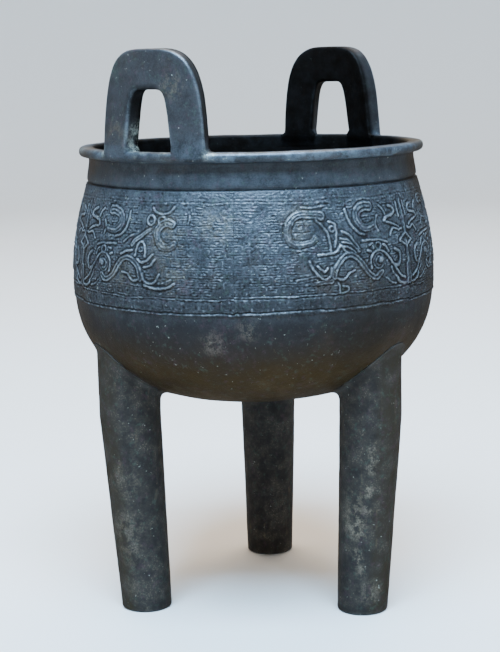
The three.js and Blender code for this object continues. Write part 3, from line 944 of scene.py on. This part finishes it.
# The patina's nodes, with what they all read: a spot's place, its marks and the main noises.
class Patina:
    def __init__(self, tree):
        self.tree = tree
        self.where = self.add("ShaderNodeTexCoord").outputs["Object"]
        place = self.add("ShaderNodeSeparateXYZ")
        self.link(self.where, place.inputs[0])
        self.height = place.outputs["Z"]
        self.wear, self.soot, self.leg = [self.mark(name) for name in MARKS]
        self.clouds = self.noise("clouds")
        self.mottle = self.noise("mottle")
        self.grain = self.noise("grain")
        self.skin = self.blend(self.mottle, self.grain, 0.6)

    def add(self, kind, **settings):
        node = self.tree.nodes.new(kind)
        for name, value in settings.items():
            setattr(node, name, value)
        return node

    def link(self, source, target):
        self.tree.links.new(source, target)

    def mark(self, name):
        return self.add("ShaderNodeAttribute", attribute_name=name).outputs["Fac"]

    def noise(self, name, where=None):
        node = self.add("ShaderNodeTexNoise")
        for socket, value in zip(("Scale", "Detail", "Roughness"), NOISES[name]):
            node.inputs[socket].default_value = value
        self.link(self.where if where is None else where, node.inputs["Vector"])
        return node.outputs["Fac"]

    def spread(self, value, low, high, bottom=0.0, top=1.0):
        node = self.add("ShaderNodeMapRange", interpolation_type="SMOOTHSTEP")
        limits = {"From Min": low, "From Max": high, "To Min": bottom, "To Max": top}
        for socket, limit in limits.items():
            node.inputs[socket].default_value = limit
        self.link(value, node.inputs["Value"])
        return node.outputs["Result"]

    # The same over a spot's height, with the limits in millimetres
    def rising(self, low, high, bottom=0.0, top=1.0):
        return self.spread(self.height, low * MM, high * MM, bottom, top)

    def between(self, foot, top):
        return self.times(self.rising(*foot), self.rising(*top))

    def math(self, operation, *values):
        node = self.add("ShaderNodeMath", operation=operation)
        for slot, value in zip(node.inputs, values):
            if isinstance(value, (int, float)):
                slot.default_value = value
            else:
                self.link(value, slot)
        return node.outputs[0]

    def times(self, first, second):
        return self.math("MULTIPLY", first, second)

    def plus(self, first, second):
        return self.math("ADD", first, second)

    # One value by its share and another by the rest
    def blend(self, first, second, share):
        return self.plus(self.times(first, share), self.times(second, 1 - share))

    def mix(self, share, first, second):
        node = self.add("ShaderNodeMix", data_type="RGBA")
        self.link(share, node.inputs["Factor"])
        for place, value in ((FIRST_COLOUR, first), (SECOND_COLOUR, second)):
            if isinstance(value, tuple):
                node.inputs[place].default_value = (*value, 1)
            else:
                self.link(value, node.inputs[place])
        return node.outputs[MIXED_COLOUR]

    # Lays a tint on a colour where a noise is high
    def tinted(self, colour, name, low, high, strength, tint):
        return self.mix(self.spread(self.noise(name), low, high, 0, strength), colour, tint)


# Colours of the patina, in linear light
BLACK_SKIN = (0.030, 0.034, 0.040)
GREY_SKIN = (0.080, 0.092, 0.106)
LEG_DARK = (0.032, 0.029, 0.027)
LEG_PALE = (0.062, 0.054, 0.046)
LEG_OLIVE = (0.052, 0.040, 0.024)
LEG_SPECKS = (0.24, 0.205, 0.15)
HANDLE_SKIN = (0.042, 0.037, 0.036)
# Painted shade that darkens the skin under the band
UNDER_BAND_SHADE = (0.026, 0.023, 0.023)
# Brown patina with a painted warm reflection of the floor, under the bowl
BROWN_AND_REFLECTED_SKIN = (0.054, 0.032, 0.010)
UMBER = (0.105, 0.070, 0.040)
OCHRE_DUST = (0.21, 0.165, 0.10)
# Paler rubbed metal and painted highlights on raised lines and edges
RUBBED_AND_HIGHLIGHT = (0.27, 0.31, 0.34)
# A pale bloom with painted sheen on the lip
LIP_BLOOM_AND_SHEEN = (0.15, 0.195, 0.235)
# Near-black for soot and painted shade in the hollow, on handles and legs, and for painted shade in
# creases
SOOT_AND_SHADE_BLACK = (0.0055, 0.0039, 0.0028)
DARK_BROWN = (0.026, 0.019, 0.012)
LIME = (0.42, 0.45, 0.38)
VERDIGRIS = (0.075, 0.12, 0.095)
PURPLE = (0.10, 0.055, 0.075)

# Deposits and stains: a turn from +X in degrees, a radius and a height in millimetres, the reach of
# the stain, how strong it is, and its colour
DEPOSITS = [
    (173.5, 80.5, 234, 7, 1.0, LIME),
    (173.8, 80, 241, 7, 0.9, LIME),
    (178, 82, 232, 7, 0.8, LIME),
    (187, 83, 232, 6, 0.5, LIME),
    (161, 85, 232, 5, 0.5, LIME),
    (203, 86, 231, 5, 0.8, LIME),
    (146, 86, 231, 22, 0.8, UMBER),
    (140, 86, 231, 7, 0.7, LIME),
    (298, 86, 231, 8, 0.5, LIME),
    (166, 86, 271, 11, 0.7, VERDIGRIS),
    (191, 84, 262, 9, 0.5, OCHRE_DUST),
    (168, 86, 241, 9, 0.4, OCHRE_DUST),
    (188, 90, 196, 16, 0.4, OCHRE_DUST),
    (191, 90, 178, 16, 0.3, OCHRE_DUST),
    (205, 88, 199, 14, 0.35, OCHRE_DUST),
    (172, 91, 176, 14, 0.3, OCHRE_DUST),
    (230, 88, 200, 14, 0.3, OCHRE_DUST),
    (250, 90, 172, 18, 0.3, UMBER),
    (196, 91, 172, 6, 0.6, PURPLE),
    (226, 90, 180, 5, 0.4, PURPLE),
    (268, 91, 166, 8, 0.4, PURPLE),
    (158, 91, 176, 9, 0.35, PURPLE),
    (207, 88, 146, 15, 0.45, PURPLE),
    (203, 88, 145, 9, 0.5, LEG_SPECKS),
    (214, 89, 152, 8, 0.5, LEG_SPECKS),
]

# Wide soft stains, given as the deposits are
WASHES = [
    (302, 87, 231, 38, 0.85, UMBER),
    (140, 87, 232, 22, 0.75, UMBER),
    (296, 84, 220, 34, 0.7, DARK_BROWN),
    (252, 90, 150, 34, 0.55, DARK_BROWN),
    (290, 90, 162, 30, 0.4, DARK_BROWN),
]

# Pale marks on a leg, as deposits: its turn from +X, how far round it they lie, height, reach, strength
LEG_MARKS = [
    (0, -52, 86, 4, 0.8),
    (0, -52, 81, 4, 0.8),
    (0, -53, 76, 5, 0.9),
    (0, -56, 66, 4, 0.8),
    (0, -58, 62, 4, 0.8),
    (0, -54, 56, 5, 0.7),
    (0, -88, 60, 9, 0.5),
    (0, -84, 50, 11, 0.8),
    (0, -78, 44, 9, 0.8),
    (0, -74, 33, 4, 1.0),
    (0, -72, 30, 4, 1.0),
    (0, -68, 26, 4, 0.9),
    (0, -64, 22, 4, 0.8),
    (0, -40, 12, 10, 0.6),
    (2, 42, 68, 14, 0.35),
    (2, 40, 44, 16, 0.45),
    (2, 46, 30, 12, 0.3),
    (2, 38, 14, 9, 0.25),
]

# Heights in millimetres between which painted shade darkens the skin under the band, and brown patina with
# a painted warm reflection comes in under the bowl
BELLY_SHADE = (190, 166)
UNDER_SHADE = (162, 150)
BROWN_SHADE = (154, 128)
UNDER_GLOSS = (100, 165)

# Stretches that the patina treats apart: each fades in over its first two heights and out over the others
ON_LIP = [(LIP_UNDERSIDE - 0.4, LIP_UNDERSIDE + 0.4), (LIP_TOP + 1.5, LIP_TOP + 0.5)]
# The neck, where painted shade falls under the lip
ON_NECK = [(214.5, 215.5), (228.5, 226.5)]
ON_BAND = [(157, 159), (214.5, 213)]

SKIN_RANGE = (0.36, 0.64)


# Bowl and handles: blue-grey, with painted shade under the band, and brown patina with a painted warm
# reflection under the bowl.
def skin_colour(kit):
    colour = kit.mix(kit.spread(kit.skin, *SKIN_RANGE), BLACK_SKIN, GREY_SKIN)
    colour = kit.mix(kit.rising(LIP_TOP, LIP_TOP + 10, 0, 0.65), colour, HANDLE_SKIN)
    # Painted shade under the band
    colour = kit.mix(kit.rising(*BELLY_SHADE, 0, 0.42), colour, UNDER_BAND_SHADE)
    colour = kit.mix(kit.rising(*UNDER_SHADE, 0, 0.75), colour, UNDER_BAND_SHADE)
    # Brown patina and a painted warm reflection of the floor under the bowl
    browned_and_reflected = kit.times(kit.rising(*BROWN_SHADE), kit.spread(kit.clouds, 0.28, 0.62, 0.6, 1.0))
    colour = kit.mix(browned_and_reflected, colour, BROWN_AND_REFLECTED_SKIN)
    return kit.mix(kit.spread(kit.clouds, 0.52, 0.72, 0, 0.3), colour, UMBER)


# Legs: warm grey in patches, with pale specks and upright streaks, and olive where they face out.
def leg_colour(kit, stretch=0.09):
    patches = kit.blend(kit.noise("patches"), kit.mottle, 0.6)
    colour = kit.mix(kit.spread(patches, 0.38, 0.62), LEG_DARK, LEG_PALE)
    speckled = kit.times(kit.spread(kit.grain, 0.52, 0.68), kit.spread(patches, 0.48, 0.60, 0, 0.55))
    colour = kit.mix(speckled, colour, LEG_SPECKS)
    along = kit.add("ShaderNodeMapping")
    along.inputs["Scale"].default_value = (1, 1, stretch)
    kit.link(kit.where, along.inputs["Vector"])
    streaks = kit.noise("streaks", along.outputs["Vector"])
    streaked = kit.times(kit.spread(streaks, 0.56, 0.74, 0, 0.4), kit.spread(kit.mottle, 0.42, 0.62))
    colour = kit.mix(streaked, colour, OCHRE_DUST)
    olive = kit.times(kit.spread(kit.leg, 0.55, 1.0), kit.spread(patches, 0.36, 0.6, 0.85, 0.25))
    return kit.mix(olive, colour, LEG_OLIVE)


# Rubs the raised lines and edges paler with wear and painted highlights, paints shade on the neck under
# the lip and lays a pale bloom with painted sheen on the lip.
def rubbed_and_highlighted(kit, colour):
    on_lip = kit.between(*ON_LIP)
    # Wear and painted highlights on raised lines and edges
    rubbing_and_highlight = kit.times(kit.spread(kit.wear, 0.55, 0.93), kit.spread(kit.skin, 0.38, 0.6, 0.2, 0.85))
    rubbing_and_highlight = kit.times(rubbing_and_highlight, kit.spread(on_lip, 0, 1, 1, 0.34))
    colour = kit.mix(rubbing_and_highlight, colour, RUBBED_AND_HIGHLIGHT)
    # Painted shade on the neck under the lip
    colour = kit.mix(kit.times(kit.between(*ON_NECK), 0.25), colour, BLACK_SKIN)
    # Pale bloom and painted sheen on the lip
    bloom_and_sheen = kit.times(on_lip, kit.spread(kit.noise("bloom_and_sheen"), 0.47, 0.60, 0.0, 0.6))
    return kit.mix(kit.times(bloom_and_sheen, kit.spread(kit.wear, 0.50, 0.56)), colour, LIP_BLOOM_AND_SHEEN)


# Where a wash or deposit lies, from its turn from +X, its radius and its height.
def stain_centre(turn, radius, height):
    return around_axis(radius, radians(turn), height) * MM


# Where a mark on a leg lies, from the leg's number, how far round it the mark is, and its height.
def mark_centre(leg, around, height):
    angle = LEG_ANGLES[leg]
    return leg_spots(angle, [angle + radians(around)], [height])[0] * MM


# Lays a stain on a colour: in full at its middle and not at all at its reach, with a ragged edge.
def stained(kit, colour, tint, ragged, centre, reach, strength, core=0.1):
    distance = kit.add("ShaderNodeVectorMath", operation="DISTANCE")
    kit.link(kit.where, distance.inputs[0])
    distance.inputs[1].default_value = centre.tolist()
    near = kit.spread(distance.outputs["Value"], reach * MM, core * reach * MM, 0, strength)
    return kit.mix(kit.times(near, ragged), colour, tint)


def all_stains(kit, colour):
    soft = kit.spread(kit.clouds, 0.3, 0.6, 0.6, 1)
    ragged = kit.spread(kit.noise("ragged"), 0.42, 0.60)
    ragged = kit.times(ragged, kit.spread(kit.grain, 0.38, 0.58, 0.25, 1))
    for edge, stains in ((soft, WASHES), (ragged, DEPOSITS)):
        for turn, radius, height, reach, strength, tint in stains:
            centre = stain_centre(turn, radius, height)
            colour = stained(kit, colour, tint, edge, centre, reach, strength)
    for leg, around, height, reach, strength in LEG_MARKS:
        centre = mark_centre(leg, around, height)
        colour = stained(kit, colour, LEG_SPECKS, ragged, centre, reach, strength)
    return colour


# Satin metal, duller under soot and painted shade, in creases or under the bowl.
def add_gloss(kit, shader, crease_shade, metallic=0.5):
    shader.inputs["Metallic"].default_value = metallic
    shine = kit.times(kit.spread(kit.soot, 0, 1, 0.6, 0.03), kit.rising(*UNDER_GLOSS, 0.4, 1))
    kit.link(shine, shader.inputs["Specular IOR Level"])
    rough = kit.spread(kit.skin, *SKIN_RANGE, 0.34, 0.46)
    rough = kit.plus(rough, kit.times(kit.plus(crease_shade, kit.soot), 0.15))
    kit.link(rough, shader.inputs["Roughness"])


# Fine pores all over, and finer chasing on the band.
def add_bump(kit, shader, strength=0.5, distance=0.0003, grain=0.45, chasing=1.3):
    bump = kit.add("ShaderNodeBump")
    bump.inputs["Strength"].default_value = strength
    bump.inputs["Distance"].default_value = distance
    surface = kit.plus(kit.times(kit.grain, grain), kit.noise("pores"))
    chased = kit.times(kit.noise("chasing"), kit.times(kit.between(*ON_BAND), chasing))
    kit.link(kit.plus(surface, chased), bump.inputs["Height"])
    kit.link(bump.outputs["Normal"], shader.inputs["Normal"])


def new_material(name):
    material = bpy.data.materials.new(name)
    material.use_nodes = True
    return material, material.node_tree.nodes["Principled BSDF"]


def bronze_material():
    material, shader = new_material("old_bronze")
    kit = Patina(material.node_tree)
    colour = kit.mix(kit.spread(kit.leg, 0, 0.5), skin_colour(kit), leg_colour(kit))
    colour = kit.tinted(colour, "dust", 0.60, 0.78, 0.3, OCHRE_DUST)
    colour = rubbed_and_highlighted(kit, colour)
    for name, tint in (("purple", PURPLE), ("green", VERDIGRIS)):
        colour = kit.tinted(colour, name, 0.54, 0.70, 0.34, tint)
    # Painted shade in creases
    crease_shade = kit.spread(kit.wear, 0.47, 0.25, 0, 0.75)
    colour = kit.mix(crease_shade, colour, SOOT_AND_SHADE_BLACK)
    colour = kit.tinted(colour, "specks", 0.68, 0.75, 0.7, LIME)
    # Soot and painted shade in the hollow and on the handles' and legs' shaded sides
    colour = kit.mix(kit.times(kit.soot, kit.spread(kit.mottle, 0.2, 0.8, 1, 0.9)), colour, SOOT_AND_SHADE_BLACK)
    kit.link(all_stains(kit, colour), shader.inputs["Base Color"])
    add_gloss(kit, shader, crease_shade)
    add_bump(kit, shader)
    return material


# The camera, solved from the photograph's outlines: a lens and a place in the vessel's frame.
CAMERA_DISTANCE = 0.78935
CAMERA_HEIGHT = 0.27363
CAMERA_TURN = radians(-54.341)
CAMERA_YAW = radians(0.171)
CAMERA_PITCH = radians(9.716)
CAMERA_ROLL = radians(-1.194)
CAMERA_NEAR = 0.01
LENS = 86.43

# Lights: name, turn from the camera in degrees, height, distance, size, power and colour
LIGHTS = [
    ("window", -4, 1.85, 0.80, (1.3, 1.0), 190, (0.43, 0.69, 1.0)),
    ("left_fill", -80, 0.7, 1.7, (0.6, 1.2), 0.8, (1.0, 0.93, 0.85)),
    ("right_fill", 80, 0.7, 1.7, (0.6, 1.2), 0.8, (1.0, 0.95, 0.9)),
    ("top", 180, 2.2, 0.9, (1.8, 1.2), 60, (1.0, 0.84, 0.66)),
]
LIGHT_AIM = Vector((0, 0, 0.17))

# Floor, in metres: the radius of its flat part, the radius of its bend and the height of its wall
FLOOR_FLAT = 2.2
FLOOR_BEND = 1.2
WALL_TOP = 2.2
FLOOR_SIDES = 96
FLOOR_TINT = (0.88, 0.84, 0.79)
FLOOR_ROUGHNESS = 0.9
SKY_TINT = (1.0, 0.94, 0.86)
SKY_STRENGTH = 0.18


def add_camera():
    camera = placed("camera", bpy.data.cameras.new("camera"))
    camera.data.lens = LENS
    camera.data.clip_start = CAMERA_NEAR
    place = Matrix.Rotation(CAMERA_TURN, 4, "Z") @ Matrix.Translation((0, -CAMERA_DISTANCE, CAMERA_HEIGHT))
    aim = Matrix.Rotation(CAMERA_YAW, 4, "Z") @ Matrix.Rotation(pi / 2 - CAMERA_PITCH, 4, "X")
    camera.matrix_world = place @ aim @ Matrix.Rotation(CAMERA_ROLL, 4, "Z")
    bpy.context.scene.camera = camera


# An area light that faces the bowl.
def add_light(name, turn, height, distance, size, power, colour):
    data = bpy.data.lights.new(name, "AREA")
    data.shape = "RECTANGLE"
    data.size, data.size_y = size
    data.energy = power
    data.color = colour
    light = placed(name, data)
    angle = CAMERA_TURN - pi / 2 + radians(turn)
    light.location = (distance * cos(angle), distance * sin(angle), height)
    light.rotation_euler = (LIGHT_AIM - light.location).to_track_quat("-Z", "Y").to_euler()


# A round pale floor that bends up to a wall all round: a tube without the face that would close its top.
def add_stage():
    turns = np.radians(np.linspace(0, 90, 16))
    curve = np.column_stack([np.sin(turns), 1 - np.cos(turns)]) * FLOOR_BEND + [FLOOR_FLAT, 0]
    profile = np.vstack([[[FLOOR_FLAT / 2, 0]], curve, [[FLOOR_FLAT + FLOOR_BEND, WALL_TOP]]])
    angles = all_round(FLOOR_SIDES)
    verts, faces = tube(around_axis(profile[::-1, :1], angles, profile[::-1, 1:]))
    del faces[-2]
    floor = mesh_object("floor", verts, faces)
    floor.data.shade_smooth()
    material, shader = new_material("pale_floor")
    shader.inputs["Base Color"].default_value = (*FLOOR_TINT, 1)
    shader.inputs["Roughness"].default_value = FLOOR_ROUGHNESS
    floor.data.materials.append(material)
    floor.visible_glossy = False


def add_world():
    world = bpy.data.worlds.new("studio")
    world.use_nodes = True
    background = world.node_tree.nodes["Background"]
    background.inputs["Color"].default_value = (*SKY_TINT, 1)
    background.inputs["Strength"].default_value = SKY_STRENGTH
    bpy.context.scene.world = world


add_camera()
add_stage()
add_world()
for light in LIGHTS:
    add_light(*light)

bronze = bronze_material()
body = body_piece()
panels = []
for leg_angle in LEG_ANGLES:
    for panel_side in (-1, 1):
        panels.append(panel_piece(len(panels) + 1, leg_angle, panel_side))
for piece in [body] + panels:
    piece.data.materials.clear()
    piece.data.materials.append(bronze)
    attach(piece, "root")
    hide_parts("ding_vessel")
